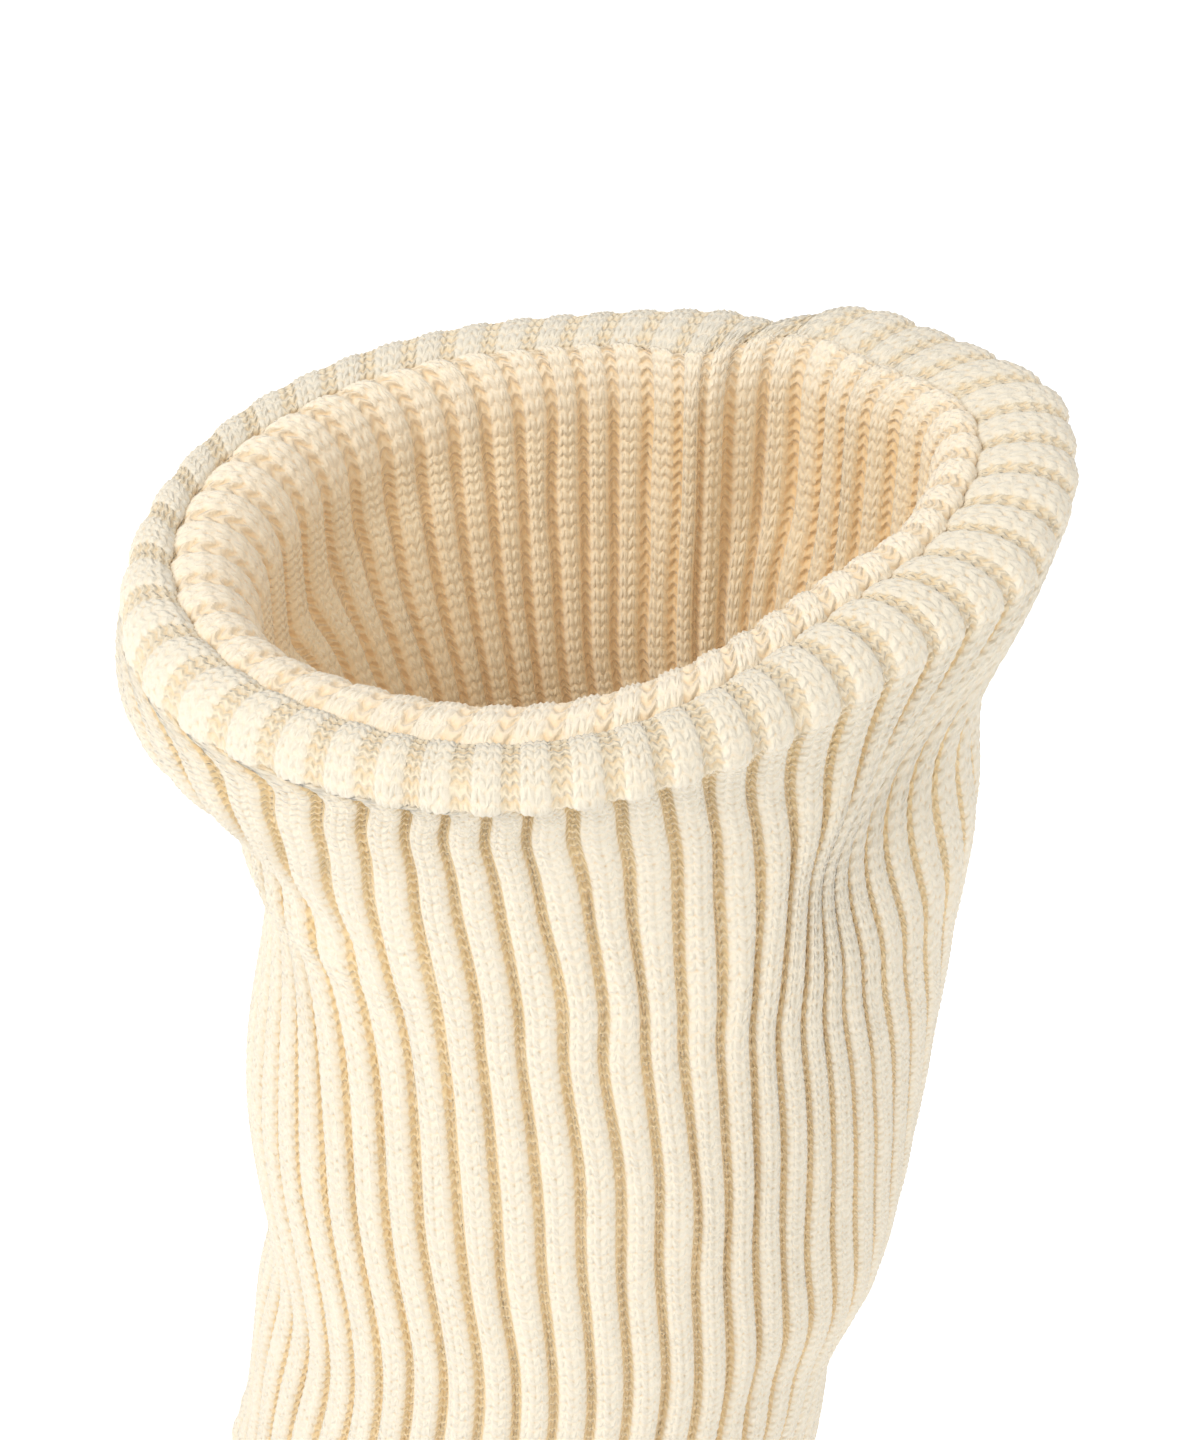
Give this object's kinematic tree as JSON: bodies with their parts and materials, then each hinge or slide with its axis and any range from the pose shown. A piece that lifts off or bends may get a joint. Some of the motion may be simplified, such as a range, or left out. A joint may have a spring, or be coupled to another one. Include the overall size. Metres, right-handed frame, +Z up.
{
  "type": "loose sock",
  "caption": "Thick rib-knit loose sock, empty but filled out, standing on its sole: wide double-layer mouth rolled over at a linked seam, ribbed leg, plain heel, sole and toe.",
  "frame": {"origin": "on the floor under the middle of the sock's outline from above", "axes": "+Z up along the leg, -X towards the toe, +X the calf side, -Y the side seen in the picture"},
  "size_m": [0.257, 0.0998, 0.3064],
  "materials": {
    "rib_knit": "soft matte cream knit with raised ribs",
    "plain_knit": "soft matte cream knit, plain"
  },
  "bodies": {
    "root": {"leg": "rib_knit", "cuff_facing": "rib_knit", "heel": "plain_knit", "foot": "rib_knit", "toe": "plain_knit"}
  },
  "joints": []
}
